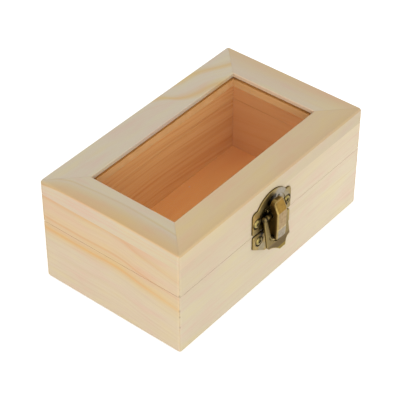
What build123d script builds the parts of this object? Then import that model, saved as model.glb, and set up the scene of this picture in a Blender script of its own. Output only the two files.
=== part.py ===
from build123d import *
from math import asin, cos, degrees, radians
import os

os.makedirs("parts", exist_ok=True)

# A small wooden box with a hinged lid, a window in the lid and a draw latch on the front.
# Millimetres. X runs along the front to the right, Y from the front to the back, Z up.
# The origin is the middle of the wooden box's underside.

# Wooden box
box_length = 150.0
box_width = 90.0
box_height = 64.0
base_height = 37.35    # height of the lower half
parting_gap = 0.2       # gap all round between the two halves
end_wall = 8.0          # thickness of the left and right boards
long_wall = 10.5        # thickness of the front and back boards
glue_line = 0.1         # gap left at each mitre
corner_round = 1.6      # upright corners of the box
top_round = 1.1         # upper edge of the lid
foot_round = 0.6        # lower edge of the base
parting_ease = 0.1      # edges at the parting line

# Floor panel in a rebate under the walls
panel_thickness = 3.8
panel_rebate = 4.0      # how far the panel reaches under the walls
panel_play = 0.15

# Window frame and pane
rail_width = 18.0
rail_thickness = 9.0
pane_thickness = 2.0
pane_drop = 2.5         # from the top of the frame down to the pane
pane_groove = 4.0       # depth of the groove in each rail
pane_play = 0.15
sight_ease = 0.4        # inner upper edge of the frame

# Butt hinges on the back
hinge_inset = 30.0      # from an end of the box to the middle of its hinge
hinge_length = 20.0
hinge_leaf = 8.4        # from the hinge axis to a leaf's free edge
leaf_thickness = 0.8
leaf_corner = 1.2
hinge_pin_radius = 0.75
hinge_pin_play = 0.05
hinge_wall_gap = 0.2    # between a knuckle and the wood
knuckle_gap = 0.15      # between neighbouring knuckles
hinge_head_radius = 1.2
hinge_head_height = 0.6
hinge_screw_spread = 11.0
hinge_screw_drop = 4.9  # from the hinge axis to a screw

# Wood screws of the hinges and of the latch
hinge_screw_head = 1.55
hinge_screw_dome = 0.8
hinge_screw_shank = 0.75
hinge_screw_length = 6.0
hinge_cross_width = 0.45
hinge_cross_depth = 0.5
latch_screw_head = 2.4
latch_screw_dome = 1.2
latch_screw_shank = 0.9
latch_screw_length = 7.0
latch_cross_width = 0.8
latch_cross_depth = 0.8
pilot_play = 0.05       # between a screw's shank and its hole
screw_rim_share = 0.3   # of a head's height, upright before the dome starts
screw_cross_share = 1.25  # length of the cross in head radii
screw_tip_share = 2.0   # length of the point in shank radii

# Latch, placed by the middle of its plates; its heights are above the parting line
latch_x = -3.35
latch_plate = 1.0       # sheet of both plates
latch_gap = 0.35        # running gap between sheets that pass each other
plate_ease = 0.25       # front edges of the two plates
plate_round = 1.2       # corners of the two plates
catch_half_width = 15.7
catch_bottom = 1.0
catch_ears = 15.15
catch_ear_round = 2.6
catch_dome_rise = 6.0   # height of the dome over the ears
catch_dome_radius = 14.0
catch_rim = 2.8         # width of the dome's raised rim
catch_recess = 0.3      # how far the plate is pressed in inside the rim
catch_screw_spread = 24.6
catch_screw_z = 7.55
ridge_half_length = 5.5
ridge_bottom = 10.8
ridge_top = 12.45
ridge_height = 2.35     # how far the ridge stands off the wood
ridge_ease = 0.45       # rounding of the ridge's front
plate_half_width = 15.3
plate_top = -0.2
plate_ears = -8.2
plate_bottom = -15.0
plate_bottom_half = 5.0
plate_screw_spread = 20.4
plate_screw_z = -5.2
screw_dish_radius = 3.0
screw_dish_depth = 0.5

# Lever and claw; "out" is the distance from the front of the box
lever_pin_z = 8.7
lever_pin_out = 2.65
claw_pin_z = -4.5
claw_pin_out = 4.3
latch_pin_radius = 0.75
latch_pin_play = 0.05
latch_pin_head = 0.35
knuckle_wall = 0.55     # metal round each latch pin's hole
lever_sheet = 1.0
lever_half_width = 9.2
lever_bend_z = -9.0    # where the lever's bill starts to flare
lever_bend_out = 5.1
lever_tip_z = -12.0
lever_tip_out = 8.0
lever_bend_radius = 2.4
lever_arm_top = 2.0     # width of an arm at the lever's pin
lever_arm_bottom = 3.7  # and at the foot of the window
lever_window_bend = -3.2  # where the window's sides run into its round foot
lever_side_z = -8.3     # lower end of the lever's straight sides
lever_shoulder = 1.0    # width of the rounded shoulder at each side of the bill
lever_shoulder_sag = 0.3  # how far in the shoulder's arc passes at half height
lever_cusp_z = -9.4   # height of the cusp beside each shoulder
lever_throat_half = 5.3  # hollow of the ogee between a cusp and the tip
lever_throat_z = -10.05
lever_tip_half = 2.2
lever_tip_round = 0.25   # how far the tip's outline bulges
tongue_gap = 0.3        # sideways gap between the lever, the tongue and the claw
tongue_sheet = 0.8
tongue_root = 2.5       # how far the tongue's bend overlaps the plate
tongue_bend = 0.7       # height over which the tongue steps off the wood
tongue_middle_top = 5.95
barrel_inner = 4.5      # inner end of the barrels that hold the claw's pin
claw_half_width = 3.95
claw_sheet = 1.2
claw_top = 18.1
claw_top_round = 3.0
claw_front = 7.6        # how far the claw stands off the wood
claw_facet_z = 11.2    # lower end of the sloping upper facet
claw_facet_out = 5.2    # upper end of the facet
claw_chin_z = 0.55      # where the front starts to slope back
claw_foot_z = -7.4
claw_foot_radius = 3.1  # front of the foot, round the claw's pin
claw_foot_round = 3.0   # lower corners of the foot
claw_heel_round = 2.2   # rounding at the back of the foot
claw_back = 2.5         # nearest that the claw's lower cheeks come to the wood
claw_notch_radius = 1.9  # hollow in the cheeks for the lever's pin
claw_notch_rise = 1.7   # half height of the hollow's mouth
claw_notch_mouth = 0.8  # from the lever's pin out to the mouth
claw_notch_lip = 1.2    # slope of the cheek below the mouth
claw_nose_z = 13.05
claw_nose_top = 17.2    # where the claw's back starts to round over
claw_facet_top = 17.1   # upper end of the facet
claw_nose_gap = 0.35    # between the claw's nose and the ridge
claw_ease = 1.1         # long front edges of the claw

# Places worked out from the sizes above
lid_bottom = base_height + parting_gap
wall_top = box_height - rail_thickness
front_face = -box_width / 2
back_face = box_width / 2
knuckle_radius = hinge_pin_radius + hinge_pin_play + leaf_thickness
hinge_axis_y = back_face + hinge_wall_gap + knuckle_radius
hinge_axis_z = base_height + parting_gap / 2
pane_bottom = box_height - pane_drop - pane_thickness
latch_pin_hole = latch_pin_radius + latch_pin_play
latch_knuckle = latch_pin_hole + knuckle_wall
hinge_screw_size = (
    hinge_screw_head,
    hinge_screw_dome,
    hinge_screw_shank,
    hinge_screw_length,
    hinge_cross_width,
    hinge_cross_depth,
)
latch_screw_size = (
    latch_screw_head,
    latch_screw_dome,
    latch_screw_shank,
    latch_screw_length,
    latch_cross_width,
    latch_cross_depth,
)

# Plane of the box's front at the parting line: x to the right, y up, outwards from the wood
front_plane = Plane(origin=(latch_x, front_face, hinge_axis_z), x_dir=(1, 0, 0), z_dir=(0, -1, 0))
# Plane of the box's back at the parting line, seen from behind: x to the left, y up
back_plane = Plane(origin=(0, back_face, hinge_axis_z), x_dir=(-1, 0, 0), z_dir=(0, 1, 0))
# Plane across the latch: x outwards from the wood, y up, facing left
latch_side = Plane(origin=(latch_x, front_face, hinge_axis_z), x_dir=(0, -1, 0), z_dir=(-1, 0, 0))
# Plane across the hinges: x backwards from the hinge axis, y up, facing right
hinge_side = Plane(origin=(0, hinge_axis_y, hinge_axis_z), x_dir=(0, 1, 0), z_dir=(1, 0, 0))


def save(piece, name):
    """Label a finished piece and write it to its own file."""
    piece.label = name
    export_step(piece, f"parts/{name}.step")


def box_form(bottom, top, bottom_edge, top_edge):
    """Outer form of one half of the box, with its corners and rims eased."""
    with BuildPart() as form:
        with BuildSketch(Plane.XY.offset(bottom)):
            RectangleRounded(box_length, box_width, corner_round)
        extrude(amount=top - bottom)
        fillet(form.faces().sort_by(Axis.Z)[-1].edges(), top_edge)
        fillet(form.faces().sort_by(Axis.Z)[0].edges(), bottom_edge)
    return form.part


def mitred_plan(side, end_width, long_width):
    """Corners of a mitred board seen from above, outer edge first."""
    half_length = box_length / 2
    half_width = box_width / 2
    inner_length = half_length - end_width
    inner_width = half_width - long_width
    cut = glue_line / 2
    if side in ("front", "back"):
        turn = -1 if side == "front" else 1
        return [
            (-(half_length - cut), turn * half_width),
            (half_length - cut, turn * half_width),
            (inner_length - cut, turn * inner_width),
            (-(inner_length - cut), turn * inner_width),
        ]
    turn = -1 if side == "left" else 1
    return [
        (turn * half_length, -(half_width - cut)),
        (turn * half_length, half_width - cut),
        (turn * inner_length, inner_width - cut),
        (turn * inner_length, -(inner_width - cut)),
    ]


def mitred_board(side, end_width, long_width, bottom, top, form):
    """One board of a mitred ring, cut to the outer form of its half of the box."""
    with BuildPart() as board:
        with BuildSketch(Plane.XY.offset(bottom)):
            Polygon(*mitred_plan(side, end_width, long_width))
        extrude(amount=top - bottom)
        add(form, mode=Mode.INTERSECT)
    return board.part


def block(length, width, bottom, top):
    """A plain block round the middle of the box."""
    with BuildPart() as solid:
        with BuildSketch(Plane.XY.offset(bottom)):
            Rectangle(length, width)
        extrude(amount=top - bottom)
    return solid.part


def rod(plane, across, up, radius, low, high):
    """A round bar square to a side plane, from low to high along the plane's normal."""
    with BuildPart() as bar:
        with BuildSketch(plane.offset(low)):
            with Locations((across, up)):
                Circle(radius)
        extrude(amount=high - low)
    return bar.part


def screw(head_radius, head_height, shank_radius, length, cross_width, cross_depth):
    """A round-head screw with a cross recess; the head stands on XY and the shank points down."""
    rim = head_height * screw_rim_share
    tip = shank_radius * screw_tip_share
    cross_length = head_radius * screw_cross_share
    with BuildPart() as body:
        with BuildSketch(Plane.XZ):
            with BuildLine():
                Polyline((0, head_height), (0, 0), (head_radius, 0), (head_radius, rim))
                TangentArc((0, head_height), (head_radius, rim), tangent=(1, 0))
            make_face()
            Polygon((0, 0), (shank_radius, 0), (shank_radius, tip - length), (0, -length))
        revolve(axis=Axis.Z)
        with BuildSketch(Plane.XY.offset(head_height - cross_depth)):
            Rectangle(cross_length, cross_width)
            Rectangle(cross_width, cross_length)
        extrude(amount=cross_depth, mode=Mode.SUBTRACT)
    return body.part


# Screw places as seen on the front plane and on the back plane
catch_screw_points = [(-catch_screw_spread / 2, catch_screw_z), (catch_screw_spread / 2, catch_screw_z)]
plate_screw_points = [(-plate_screw_spread / 2, plate_screw_z), (plate_screw_spread / 2, plate_screw_z)]
hinge_x = box_length / 2 - hinge_inset
hinge_screw_x = [
    hinge + screw_place
    for hinge in (-hinge_x, hinge_x)
    for screw_place in (-hinge_screw_spread / 2, hinge_screw_spread / 2)
]
base_hinge_points = [(x, -hinge_screw_drop) for x in hinge_screw_x]
lid_hinge_points = [(x, hinge_screw_drop) for x in hinge_screw_x]


def pilot_holes(plane, points, size, seat):
    """Holes for the shanks of screws whose heads seat at a height above the plane."""
    shank_radius, shank_length = size[2], size[3]
    with BuildPart(plane) as holes:
        with Locations(*points):
            Cylinder(
                shank_radius + pilot_play,
                shank_length - seat + pilot_play,
                align=(Align.CENTER, Align.CENTER, Align.MAX),
            )
    return holes.part


def screw_group(plane, points, size, seat):
    """Equal screws at several places, with their heads seated at a height above the plane."""
    with BuildPart(plane.offset(seat)) as group:
        with Locations(*points):
            add(screw(*size))
    return group.part


latch_seat = latch_plate - screw_dish_depth
front_pilots = {
    "base": pilot_holes(front_plane, plate_screw_points, latch_screw_size, latch_seat),
    "lid": pilot_holes(front_plane, catch_screw_points, latch_screw_size, latch_seat),
}
back_pilots = {
    "base": pilot_holes(back_plane, base_hinge_points, hinge_screw_size, leaf_thickness),
    "lid": pilot_holes(back_plane, lid_hinge_points, hinge_screw_size, leaf_thickness),
}


def wall(half, side, bottom, top, form):
    """A wall of the base or the lid, with the screw holes of its metalwork."""
    with BuildPart() as board:
        add(mitred_board(side, end_wall, long_wall, bottom, top, form))
        if half == "base":
            add(panel_pocket, mode=Mode.SUBTRACT)
        if side == "front":
            add(front_pilots[half], mode=Mode.SUBTRACT)
        if side == "back":
            add(back_pilots[half], mode=Mode.SUBTRACT)
    return board.part


# Walls of the base and the lid
base_form = box_form(0, base_height, foot_round, parting_ease)
lid_form = box_form(lid_bottom, box_height, parting_ease, top_round)
panel_length = box_length - 2 * end_wall + 2 * panel_rebate
panel_width = box_width - 2 * long_wall + 2 * panel_rebate
panel_pocket = block(panel_length, panel_width, 0, panel_thickness)

for side in ("front", "back", "left", "right"):
    save(wall("base", side, 0, base_height, base_form), f"base_{side}_wall")
    save(wall("lid", side, lid_bottom, wall_top, lid_form), f"lid_{side}_wall")

# Floor panel
with BuildPart() as bottom_panel:
    add(block(panel_length - 2 * panel_play, panel_width - 2 * panel_play, 0, panel_thickness))
save(bottom_panel.part, "base_bottom_panel")

# Rails of the window frame, with the groove for the pane
sight_length = box_length - 2 * rail_width
sight_width = box_width - 2 * rail_width
pane_pocket = block(
    sight_length + 2 * pane_groove,
    sight_width + 2 * pane_groove,
    pane_bottom,
    pane_bottom + pane_thickness + pane_play,
)
for side in ("front", "back", "left", "right"):
    with BuildPart() as rail:
        add(mitred_board(side, rail_width, rail_width, wall_top, box_height, lid_form))
        sight_edge = rail.edges().group_by(Axis.Z)[-1].sort_by_distance((0, 0, box_height))[0]
        chamfer(sight_edge, sight_ease)
        add(pane_pocket, mode=Mode.SUBTRACT)
    save(rail.part, f"lid_{side}_rail")

with BuildPart() as pane:
    add(block(
        sight_length + 2 * (pane_groove - pane_play),
        sight_width + 2 * (pane_groove - pane_play),
        pane_bottom,
        pane_bottom + pane_thickness,
    ))
save(pane.part, "window_pane")

# Hinges: two outer knuckles on the base leaf, a middle one on the lid leaf
knuckle_length = (hinge_length - 2 * knuckle_gap) / 3
leaf_start = knuckle_radius + hinge_wall_gap  # from the axis to the wood, and to the flat of a leaf


def hinge_leaf_part(centre, up, knuckles):
    """A leaf on the back of the box, rising from the hinge axis (up = 1) or hanging (up = -1)."""
    with BuildPart() as leaf:
        # flat of the leaf, clear of the knuckles
        with BuildSketch(back_plane):
            with Locations((-centre, up * (leaf_start + hinge_leaf) / 2)):
                RectangleRounded(hinge_length, hinge_leaf - leaf_start, leaf_corner)
            # square corners on the side of the knuckles
            with Locations((-centre, up * (leaf_start + leaf_corner / 2))):
                Rectangle(hinge_length, leaf_corner)
        extrude(amount=leaf_thickness)
        for start, end in knuckles:
            with BuildSketch(hinge_side.offset(centre + start)):
                # strap from the leaf to the knuckle, then the knuckle itself
                with Locations((-leaf_start + leaf_thickness / 2, up * leaf_start / 2)):
                    Rectangle(leaf_thickness, leaf_start)
                Circle(knuckle_radius)
            extrude(amount=end - start)
        with BuildSketch(hinge_side.offset(centre - hinge_length)):
            Circle(hinge_pin_radius + hinge_pin_play)
        extrude(amount=2 * hinge_length, mode=Mode.SUBTRACT)
        with BuildSketch(back_plane):
            with Locations(*[
                (-centre + place, up * hinge_screw_drop)
                for place in (-hinge_screw_spread / 2, hinge_screw_spread / 2)
            ]):
                Circle(hinge_screw_shank + pilot_play)
        extrude(amount=leaf_thickness, mode=Mode.SUBTRACT)
    return leaf.part


outer_knuckles = [
    (-hinge_length / 2, -hinge_length / 2 + knuckle_length),
    (hinge_length / 2 - knuckle_length, hinge_length / 2),
]
middle_knuckle = [(-knuckle_length / 2, knuckle_length / 2)]
for name, centre in (("left", -hinge_x), ("right", hinge_x)):
    save(hinge_leaf_part(centre, -1, outer_knuckles), f"hinge_{name}_base_leaf")
    save(hinge_leaf_part(centre, 1, middle_knuckle), f"hinge_{name}_lid_leaf")
    half_pin = hinge_length / 2
    with BuildPart() as pin:
        add(rod(hinge_side, 0, 0, hinge_pin_radius, centre - half_pin, centre + half_pin))
        for end in (centre - half_pin - hinge_head_height, centre + half_pin):
            add(rod(hinge_side, 0, 0, hinge_head_radius, end, end + hinge_head_height))
    save(pin.part, f"hinge_{name}_pin")

save(screw_group(back_plane, base_hinge_points, hinge_screw_size, leaf_thickness), "hinge_base_screws")
save(screw_group(back_plane, lid_hinge_points, hinge_screw_size, leaf_thickness), "hinge_lid_screws")
save(screw_group(front_plane, plate_screw_points, latch_screw_size, latch_seat), "latch_base_screws")
save(screw_group(front_plane, catch_screw_points, latch_screw_size, latch_seat), "latch_catch_screws")


def screw_seats(points):
    """What is cut from a latch plate round each screw: a dish for the head and a hole for the shank."""
    with BuildPart(front_plane) as seats:
        with Locations(*points):
            Cylinder(latch_screw_shank + pilot_play, 2 * latch_plate)
    with BuildPart(front_plane.offset(latch_seat)) as dishes:
        with Locations(*points):
            Cylinder(screw_dish_radius, latch_plate, align=(Align.CENTER, Align.CENTER, Align.MIN))
    with BuildPart() as both:
        add(seats.part)
        add(dishes.part)
    return both.part


# Catch plate on the lid: two ears, a dome with a raised rim, and the ridge that the claw hooks over
dome_top = catch_ears + catch_dome_rise
dome_centre = dome_top - catch_dome_radius
dome_reach = (catch_dome_radius**2 - (catch_dome_radius - catch_dome_rise) ** 2) ** 0.5
with BuildPart() as catch_plate:
    with BuildSketch(front_plane) as outline:
        with BuildLine():
            Polyline(
                (-dome_reach, catch_ears),
                (-catch_half_width, catch_ears),
                (-catch_half_width, catch_bottom),
                (catch_half_width, catch_bottom),
                (catch_half_width, catch_ears),
                (dome_reach, catch_ears),
            )
            ThreePointArc((dome_reach, catch_ears), (0, dome_top), (-dome_reach, catch_ears))
        make_face()
        fillet(outline.vertices().group_by(Axis.Y)[0], plate_round)
        ear_tips = outline.vertices().group_by(Axis.Y)[-1].sort_by(Axis.X)
        fillet([ear_tips[0], ear_tips[-1]], catch_ear_round)
    extrude(amount=latch_plate)
    chamfer(catch_plate.faces().sort_by(Axis.Y)[0].edges(), plate_ease)
    with BuildSketch(front_plane.offset(latch_plate - catch_recess)):
        with Locations((0, dome_centre)):
            Circle(catch_dome_radius - catch_rim)
    extrude(amount=latch_plate, mode=Mode.SUBTRACT)
    with BuildSketch(latch_side.offset(-ridge_half_length)) as ridge:
        Polygon(
            (latch_plate / 2, ridge_bottom),
            (ridge_height - ridge_ease, ridge_bottom),
            (ridge_height, ridge_bottom + ridge_ease),
            (ridge_height, ridge_top - ridge_ease),
            (ridge_height - ridge_ease, ridge_top),
            (latch_plate / 2, ridge_top),
        )
    extrude(amount=2 * ridge_half_length)
    add(screw_seats(catch_screw_points), mode=Mode.SUBTRACT)
save(catch_plate.part, "latch_catch_plate")

# Base plate: ears, a pointed foot, and a tongue that stands off the wood and carries the lever's pin
arm_inner = lever_half_width - lever_arm_top
knuckle_outer = arm_inner - tongue_gap
knuckle_inner = claw_half_width + tongue_gap
tongue_back = lever_pin_out - latch_knuckle
with BuildPart() as base_plate:
    with BuildSketch(front_plane) as outline:
        with BuildLine():
            Polyline(
                (-plate_bottom_half, plate_bottom),
                (-plate_half_width, plate_ears),
                (-plate_half_width, plate_top),
                (plate_half_width, plate_top),
                (plate_half_width, plate_ears),
                (plate_bottom_half, plate_bottom),
                close=True,
            )
        make_face()
        fillet(outline.vertices(), plate_round)
    extrude(amount=latch_plate)
    chamfer(base_plate.faces().sort_by(Axis.Y)[0].edges(), plate_ease)
    with BuildSketch(latch_side.offset(-knuckle_outer)):
        Polygon(
            (0, plate_top - tongue_root),
            (latch_plate, plate_top - tongue_root),
            (tongue_back + tongue_sheet, plate_top - tongue_bend),
            (tongue_back + tongue_sheet, lever_pin_z),
            (tongue_back, lever_pin_z),
            (tongue_back, plate_top + tongue_bend),
            (latch_plate, plate_top),
            (0, plate_top),
        )
        with Locations((lever_pin_out, lever_pin_z)):
            Circle(latch_knuckle)
    extrude(amount=2 * knuckle_outer)
    with BuildSketch(front_plane.offset(latch_plate)):
        with Locations((0, tongue_middle_top + latch_knuckle * 2)):
            Rectangle(2 * knuckle_inner, latch_knuckle * 4)
    extrude(amount=2 * lever_pin_out, mode=Mode.SUBTRACT)
    add(
        rod(latch_side, lever_pin_out, lever_pin_z, latch_pin_hole, -arm_inner, arm_inner),
        mode=Mode.SUBTRACT,
    )
    add(screw_seats(plate_screw_points), mode=Mode.SUBTRACT)
save(base_plate.part, "latch_base_plate")


def latch_pin(out, up, half_length):
    """A pin across the latch with a small peened head at each end."""
    with BuildPart() as pin:
        add(rod(latch_side, out, up, latch_pin_radius, -half_length, half_length))
        for end in (-half_length - latch_pin_head, half_length):
            add(rod(latch_side, out, up, latch_knuckle - knuckle_wall / 2, end, end + latch_pin_head))
    return pin.part


save(latch_pin(lever_pin_out, lever_pin_z, lever_half_width), "lever_pin")


# Lever: a bent sheet with arms, a window, a flared bill and barrels for its two pins
window_top_half = arm_inner
window_foot_half = lever_half_width - lever_arm_bottom
window_pin_half = (window_foot_half**2 - (lever_window_bend - claw_pin_z) ** 2) ** 0.5
barrel_outer = window_pin_half + lever_sheet
lever_top = lever_pin_z + latch_knuckle
with BuildPart() as lever:
    with BuildSketch(latch_side):
        with BuildLine():
            FilletPolyline(
                (lever_pin_out, lever_pin_z),
                (lever_bend_out, lever_bend_z),
                (lever_tip_out, lever_tip_z),
                radius=lever_bend_radius,
            )
        trace(line_width=lever_sheet)
        with Locations((lever_pin_out, lever_pin_z)):
            Circle(latch_knuckle)
    extrude(amount=lever_half_width, both=True)
    with BuildSketch(front_plane):
        with BuildLine():
            Polyline(
                (-lever_half_width, lever_side_z),
                (-lever_half_width, lever_top),
                (lever_half_width, lever_top),
                (lever_half_width, lever_side_z),
            )
            ThreePointArc(
                (lever_half_width, lever_side_z),
                (lever_half_width - lever_shoulder_sag, lever_cusp_z + lever_tip_round),
                (lever_half_width - lever_shoulder, lever_cusp_z),
            )
            ThreePointArc(
                (lever_half_width - lever_shoulder, lever_cusp_z),
                (lever_throat_half, lever_throat_z),
                (lever_tip_half, lever_tip_z + lever_tip_round),
            )
            ThreePointArc(
                (lever_tip_half, lever_tip_z + lever_tip_round),
                (0, lever_tip_z - lever_tip_round),
                (-lever_tip_half, lever_tip_z + lever_tip_round),
            )
            ThreePointArc(
                (-lever_tip_half, lever_tip_z + lever_tip_round),
                (-lever_throat_half, lever_throat_z),
                (lever_shoulder - lever_half_width, lever_cusp_z),
            )
            ThreePointArc(
                (lever_shoulder - lever_half_width, lever_cusp_z),
                (lever_shoulder_sag - lever_half_width, lever_cusp_z + lever_tip_round),
                (-lever_half_width, lever_side_z),
            )
        make_face()
    extrude(amount=2 * lever_tip_out, mode=Mode.INTERSECT)
    with BuildSketch(front_plane):
        Polygon(
            (-window_top_half, lever_pin_z),
            (-window_top_half, lever_top + latch_gap),
            (window_top_half, lever_top + latch_gap),
            (window_top_half, lever_pin_z),
            (window_foot_half, lever_window_bend),
            (-window_foot_half, lever_window_bend),
        )
        with Locations((0, lever_window_bend)):
            Circle(window_foot_half)
    extrude(amount=2 * lever_tip_out, mode=Mode.SUBTRACT)
    for low, high in ((-barrel_outer, -barrel_inner), (barrel_inner, barrel_outer)):
        add(rod(latch_side, claw_pin_out, claw_pin_z, latch_knuckle, low, high))
    for out, up, half_length in (
        (claw_pin_out, claw_pin_z, barrel_outer),
        (lever_pin_out, lever_pin_z, lever_half_width),
    ):
        add(rod(latch_side, out, up, latch_pin_hole, -half_length, half_length), mode=Mode.SUBTRACT)
save(lever.part, "latch_lever")

# Claw: a channel open towards the wood, with a nose at its top and rounded feet round its pin
nose_out = ridge_height + claw_nose_gap
mouth_out = lever_pin_out + claw_notch_mouth
foot_front = claw_pin_out + claw_foot_radius
foot_angle = degrees(asin((claw_pin_z - claw_foot_z) / claw_foot_radius))
foot_reach = claw_foot_radius * cos(radians(foot_angle))
with BuildPart() as claw:
    with BuildSketch(latch_side):
        with BuildLine():
            Line((nose_out, claw_nose_z), (nose_out, claw_nose_top))
            TangentArc((nose_out, claw_nose_top), (claw_facet_out, claw_facet_top), tangent=(0, 1))
            Polyline(
                (claw_facet_out, claw_facet_top),
                (claw_front, claw_facet_z),
                (claw_front, claw_chin_z),
                (foot_front, claw_pin_z),
            )
            CenterArc((claw_pin_out, claw_pin_z), claw_foot_radius, 0, -foot_angle)
            Line((claw_pin_out + foot_reach, claw_foot_z), (claw_back + claw_heel_round, claw_foot_z))
            TangentArc(
                (claw_back + claw_heel_round, claw_foot_z),
                (claw_back, claw_foot_z + claw_heel_round),
                tangent=(-1, 0),
            )
            Polyline(
                (claw_back, claw_foot_z + claw_heel_round),
                (claw_back, lever_pin_z - claw_notch_radius - claw_notch_lip),
                (mouth_out, lever_pin_z - claw_notch_rise),
            )
            ThreePointArc(
                (mouth_out, lever_pin_z - claw_notch_rise),
                (lever_pin_out + claw_notch_radius, lever_pin_z),
                (mouth_out, lever_pin_z + claw_notch_rise),
            )
            Line((mouth_out, lever_pin_z + claw_notch_rise), (nose_out, claw_nose_z))
        make_face()
    extrude(amount=claw_half_width, both=True)
    with BuildSketch(front_plane) as outline:
        with Locations((0, claw_top)):
            Rectangle(2 * claw_half_width, claw_top - claw_foot_z, align=(Align.CENTER, Align.MAX))
        fillet(outline.vertices().group_by(Axis.Y)[-1], claw_top_round)
        fillet(outline.vertices().group_by(Axis.Y)[0], claw_foot_round)
    extrude(amount=2 * claw_front, mode=Mode.INTERSECT)
    claw_sides = claw.faces().sort_by(Axis.X)
    front_edges = (claw_sides[0].edges() + claw_sides[-1].edges()).filter_by(
        lambda edge: edge.center().Y < front_face - foot_front + claw_ease
    )
    fillet(front_edges, claw_ease)
    with BuildSketch(latch_side):
        Polygon(
            (0, claw_foot_z + claw_sheet),
            (claw_pin_out + foot_reach - claw_sheet, claw_foot_z + claw_sheet),
            (foot_front - claw_sheet, claw_pin_z),
            (claw_front - claw_sheet, claw_chin_z),
            (claw_front - claw_sheet, claw_facet_z - claw_sheet),
            (0, claw_nose_z - claw_sheet / 2),
        )
    extrude(amount=claw_half_width - claw_sheet, both=True, mode=Mode.SUBTRACT)
    add(
        rod(latch_side, claw_pin_out, claw_pin_z, latch_pin_hole, -claw_half_width, claw_half_width),
        mode=Mode.SUBTRACT,
    )
save(claw.part, "latch_claw")

with BuildPart() as claw_pin:
    add(rod(latch_side, claw_pin_out, claw_pin_z, latch_pin_radius, -barrel_outer, barrel_outer))
save(claw_pin.part, "claw_pin")
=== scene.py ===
"""A pine box with a window in its hinged lid and a bronze draw latch: finishes, screws, light, camera."""

import logging
from collections.abc import Callable
from dataclasses import dataclass
from enum import Enum
from functools import partial
from math import pi
from typing import Any

import bmesh
import bpy
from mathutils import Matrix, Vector


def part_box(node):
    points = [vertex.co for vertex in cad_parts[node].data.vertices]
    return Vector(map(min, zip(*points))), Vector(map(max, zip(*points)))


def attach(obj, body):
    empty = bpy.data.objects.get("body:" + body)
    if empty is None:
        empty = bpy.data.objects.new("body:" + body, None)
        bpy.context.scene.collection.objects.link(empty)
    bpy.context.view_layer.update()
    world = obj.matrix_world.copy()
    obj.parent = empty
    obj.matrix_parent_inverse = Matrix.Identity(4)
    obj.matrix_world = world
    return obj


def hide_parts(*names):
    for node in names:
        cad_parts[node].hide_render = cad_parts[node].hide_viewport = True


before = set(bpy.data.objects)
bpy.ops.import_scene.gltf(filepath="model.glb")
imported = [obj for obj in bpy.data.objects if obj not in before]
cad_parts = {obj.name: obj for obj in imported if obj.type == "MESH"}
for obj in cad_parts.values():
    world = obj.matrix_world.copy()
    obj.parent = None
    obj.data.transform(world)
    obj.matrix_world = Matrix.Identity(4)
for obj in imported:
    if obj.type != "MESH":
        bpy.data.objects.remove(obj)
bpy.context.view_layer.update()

LOG = logging.getLogger("wooden_box")
MM = 0.001              # metres in a millimetre
MM_PER_METRE = 1000.0

Tree = bpy.types.NodeTree
Node = bpy.types.Node
Socket = bpy.types.NodeSocket
Material = bpy.types.Material
Add = Callable[..., Node]               # add_node for one tree
Pair = tuple[float, float]
Place = tuple[float, float, float]
Stops = tuple[tuple[float, str], ...]   # places and hex colours, low place first


def linear(colour: str) -> tuple[float, float, float, float]:
    """Turns an sRGB hex colour into the linear colour that shaders take.

    Args:
        colour: six hex digits, such as "DCC8AB".

    Returns:
        Linear red, green, blue and an alpha of 1.
    """
    shares = [int(colour[i:i + 2], 16) / 255 for i in (0, 2, 4)]
    red, green, blue = (s / 12.92 if s <= 0.04045 else ((s + 0.055) / 1.055) ** 2.4 for s in shares)
    return red, green, blue, 1.0


def add_node(
    tree: Tree, kind: str, links: dict[int | str, Any] | None = None, stops: Stops = (), **settings: Any,
) -> Node:
    """Adds one node with its settings and what goes into it.

    Args:
        tree: the node tree.
        kind: Blender's name for the node's type.
        links: for each input, by name or number, a value, a hex colour, a socket, or a node whose first open
            output feeds it.
        stops: places from 0 to 1 and hex colours, for a colour ramp.
        settings: the node's own properties.

    Returns:
        The new node.
    """
    node = tree.nodes.new(kind)
    for name, value in settings.items():
        setattr(node, name, value)
    for key, value in (links or {}).items():
        if isinstance(value, Node):
            value = next(socket for socket in value.outputs if socket.enabled)
        if isinstance(value, Socket):
            tree.links.new(value, node.inputs[key])
        else:
            node.inputs[key].default_value = linear(value) if isinstance(value, str) else value
    if stops:
        elements = node.color_ramp.elements
        while len(elements) > 1:
            elements.remove(elements[-1])
        elements[0].position, elements[0].color = stops[0][0], linear(stops[0][1])
        for place, colour in stops[1:]:
            elements.new(place).color = linear(colour)
    return node


def blank_material(name: str) -> tuple[Material, Add]:
    """Makes a material without nodes.

    Args:
        name: what the material is and how its surface was made.

    Returns:
        The material, and what adds a node to it.
    """
    material = bpy.data.materials.new(name)
    material.use_nodes = True
    material.node_tree.nodes.clear()
    return material, partial(add_node, material.node_tree)


def in_mm(add: Add) -> Node:
    """Adds what gives a shader the point on its piece in mm."""
    coords = add("ShaderNodeTexCoord").outputs["Object"]
    return add("ShaderNodeVectorMath", {0: coords, "Scale": MM_PER_METRE}, operation="SCALE")


def streaks(
    add: Add, point: Node, per_mm: Place, detail: float = 3.0, roughness: float = 0.6, bend: float = 0.0,
) -> Node:
    """Adds noise that is drawn out along a board.

    Args:
        add: adds a node to the material.
        point: the point in mm.
        per_mm: how many of its cells a mm holds along each axis.
        detail: how many finer noises are added.
        roughness: how strong these are.
        bend: how far the cells are distorted.

    Returns:
        The noise.
    """
    cells = add("ShaderNodeVectorMath", {0: point, 1: per_mm}, operation="MULTIPLY")
    inputs = {"Vector": cells, "Scale": 1.0, "Detail": detail, "Roughness": roughness, "Distortion": bend}
    return add("ShaderNodeTexNoise", inputs)


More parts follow.
